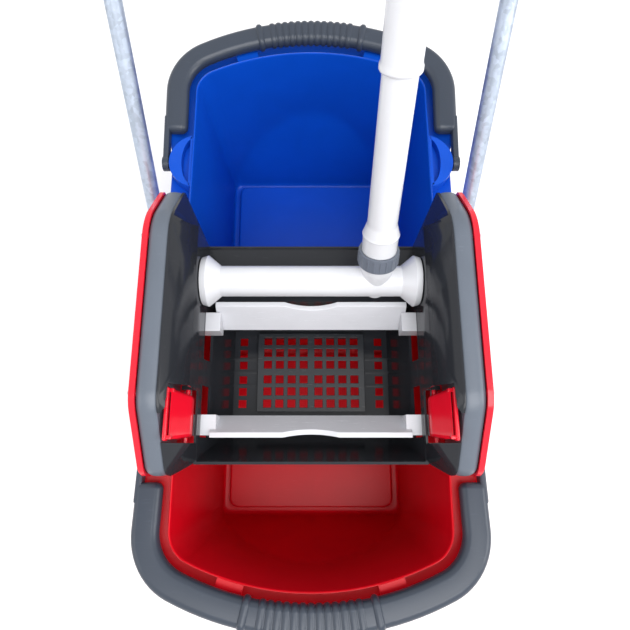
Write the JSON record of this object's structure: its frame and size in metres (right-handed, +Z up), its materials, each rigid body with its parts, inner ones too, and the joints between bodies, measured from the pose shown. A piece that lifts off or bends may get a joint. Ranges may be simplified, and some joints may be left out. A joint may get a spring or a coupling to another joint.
{
  "type": "double mop bucket trolley",
  "caption": "Castored trolley with a blue and a red bucket, a push bow and a lever-worked jaw wringer hung in the red bucket.",
  "frame": {"origin": "on the floor, under the joint of the two buckets, midway between the sides", "axes": "+X to the right, +Y back towards the push bow, +Z up"},
  "size_m": [0.4664, 0.9301, 0.9399],
  "materials": {
    "galvanised_tube": "hot-dip galvanised, speckled satin",
    "zinc_hardware": "bright zinc plated",
    "castor_steel": "zinc plated pressed steel",
    "black_plastic": "moulded nylon",
    "blue_plastic": "moulded polypropylene, satin",
    "red_plastic": "moulded polypropylene, satin",
    "bail_plastic": "moulded polypropylene, fine texture",
    "basket_plastic": "moulded polypropylene, semi gloss",
    "grey_plastic": "moulded polypropylene, satin",
    "glossy_red": "moulded, glossy",
    "white_plastic": "white pipe plastic, semi gloss",
    "nut_plastic": "moulded ring nut",
    "jaw_plastic": "white moulded plastic",
    "nylon": "natural nylon",
    "hub_plastic": "moulded polypropylene",
    "grey_tyre": "grey thermoplastic rubber"
  },
  "bodies": {
    "trolley": {"base_frame": "galvanised_tube", "push_bow": "galvanised_tube", "bow_spacers": "black_plastic", "frame_bolts": "zinc_hardware", "castor_stems": "zinc_hardware", "blue_bucket": "blue_plastic", "red_bucket": "red_plastic", "basket": "basket_plastic", "drain_grate": "basket_plastic", "left_housing": "grey_plastic", "right_housing": "grey_plastic", "left_cover": "glossy_red", "right_cover": "glossy_red", "cover_screws": "zinc_hardware", "left_bush": "nylon", "right_bush": "nylon"},
    "lever": {"lever_shaft": "white_plastic", "lever_nut": "nut_plastic", "lever_tube": "white_plastic", "lever_grip": "white_plastic", "lever_cap": "white_plastic", "left_pinion": "nylon", "right_pinion": "nylon"},
    "rear_jaw": {"rear_jaw": "jaw_plastic"},
    "front_jaw": {"front_jaw": "jaw_plastic"},
    "blue_bail": {"blue_bail": "bail_plastic"},
    "red_bail": {"red_bail": "bail_plastic"},
    "left_latch": {"left_latch": "glossy_red"},
    "right_latch": {"right_latch": "glossy_red"},
    "front_left_castor": {"front_left_fork": "castor_steel", "front_left_axle": "zinc_hardware"},
    "front_left_wheel": {"front_left_hub": "hub_plastic", "front_left_tyre": "grey_tyre"},
    "front_right_castor": {"front_right_fork": "castor_steel", "front_right_axle": "zinc_hardware"},
    "front_right_wheel": {"front_right_hub": "hub_plastic", "front_right_tyre": "grey_tyre"},
    "rear_left_castor": {"rear_left_fork": "castor_steel", "rear_left_axle": "zinc_hardware"},
    "rear_left_wheel": {"rear_left_hub": "hub_plastic", "rear_left_tyre": "grey_tyre"},
    "rear_right_castor": {"rear_right_fork": "castor_steel", "rear_right_axle": "zinc_hardware"},
    "rear_right_wheel": {"rear_right_hub": "hub_plastic", "rear_right_tyre": "grey_tyre"}
  },
  "joints": [
    {"name": "lever_swing", "type": "hinge", "parent": "trolley", "child": "lever", "pos_m": [0, -0.005, 0.4462], "axis": [1, 0, 0], "range_deg": [0, 90]},
    {"name": "rear_jaw_slide", "type": "slide", "parent": "trolley", "child": "rear_jaw", "axis": [0, -1, 0], "range_m": [0, 0.033]},
    {"name": "front_jaw_slide", "type": "slide", "parent": "trolley", "child": "front_jaw", "axis": [0, 1, 0], "range_m": [0, 0.033]},
    {"name": "blue_bail_swing", "type": "hinge", "parent": "trolley", "child": "blue_bail", "pos_m": [0, 0.183, 0.3972], "axis": [1, 0, 0], "range_deg": [0, 89]},
    {"name": "red_bail_swing", "type": "hinge", "parent": "trolley", "child": "red_bail", "pos_m": [0, -0.183, 0.3972], "axis": [-1, 0, 0], "range_deg": [0, 15.5]},
    {"name": "left_latch_pull", "type": "hinge", "parent": "trolley", "child": "left_latch", "pos_m": [-0.142, -0.166, 0.4432], "axis": [0, 1, 0], "range_deg": [0, 12], "stiffness_Nm_per_rad": 0.5},
    {"name": "right_latch_pull", "type": "hinge", "parent": "trolley", "child": "right_latch", "pos_m": [0.142, -0.166, 0.4432], "axis": [0, -1, 0], "range_deg": [0, 12], "stiffness_Nm_per_rad": 0.5},
    {"name": "front_left_swivel", "type": "hinge", "parent": "trolley", "child": "front_left_castor", "pos_m": [-0.152, -0.292, 0.08], "axis": [0, 0, 1], "continuous": true},
    {"name": "front_left_roll", "type": "hinge", "parent": "front_left_castor", "child": "front_left_wheel", "pos_m": [-0.152, -0.264, 0.0375], "axis": [1, 0, 0], "continuous": true},
    {"name": "front_right_swivel", "type": "hinge", "parent": "trolley", "child": "front_right_castor", "pos_m": [0.152, -0.292, 0.08], "axis": [0, 0, 1], "continuous": true},
    {"name": "front_right_roll", "type": "hinge", "parent": "front_right_castor", "child": "front_right_wheel", "pos_m": [0.152, -0.264, 0.0375], "axis": [1, 0, 0], "continuous": true},
    {"name": "rear_left_swivel", "type": "hinge", "parent": "trolley", "child": "rear_left_castor", "pos_m": [-0.152, 0.292, 0.08], "axis": [0, 0, 1], "continuous": true},
    {"name": "rear_left_roll", "type": "hinge", "parent": "rear_left_castor", "child": "rear_left_wheel", "pos_m": [-0.152, 0.32, 0.0375], "axis": [1, 0, 0], "continuous": true},
    {"name": "rear_right_swivel", "type": "hinge", "parent": "trolley", "child": "rear_right_castor", "pos_m": [0.152, 0.292, 0.08], "axis": [0, 0, 1], "continuous": true},
    {"name": "rear_right_roll", "type": "hinge", "parent": "rear_right_castor", "child": "rear_right_wheel", "pos_m": [0.152, 0.32, 0.0375], "axis": [1, 0, 0], "continuous": true}
  ],
  "couplings": [
    {"joint": "rear_jaw_slide", "follows": "lever_swing", "m_per_rad": 0.021},
    {"joint": "front_jaw_slide", "follows": "lever_swing", "m_per_rad": 0.021}
  ]
}
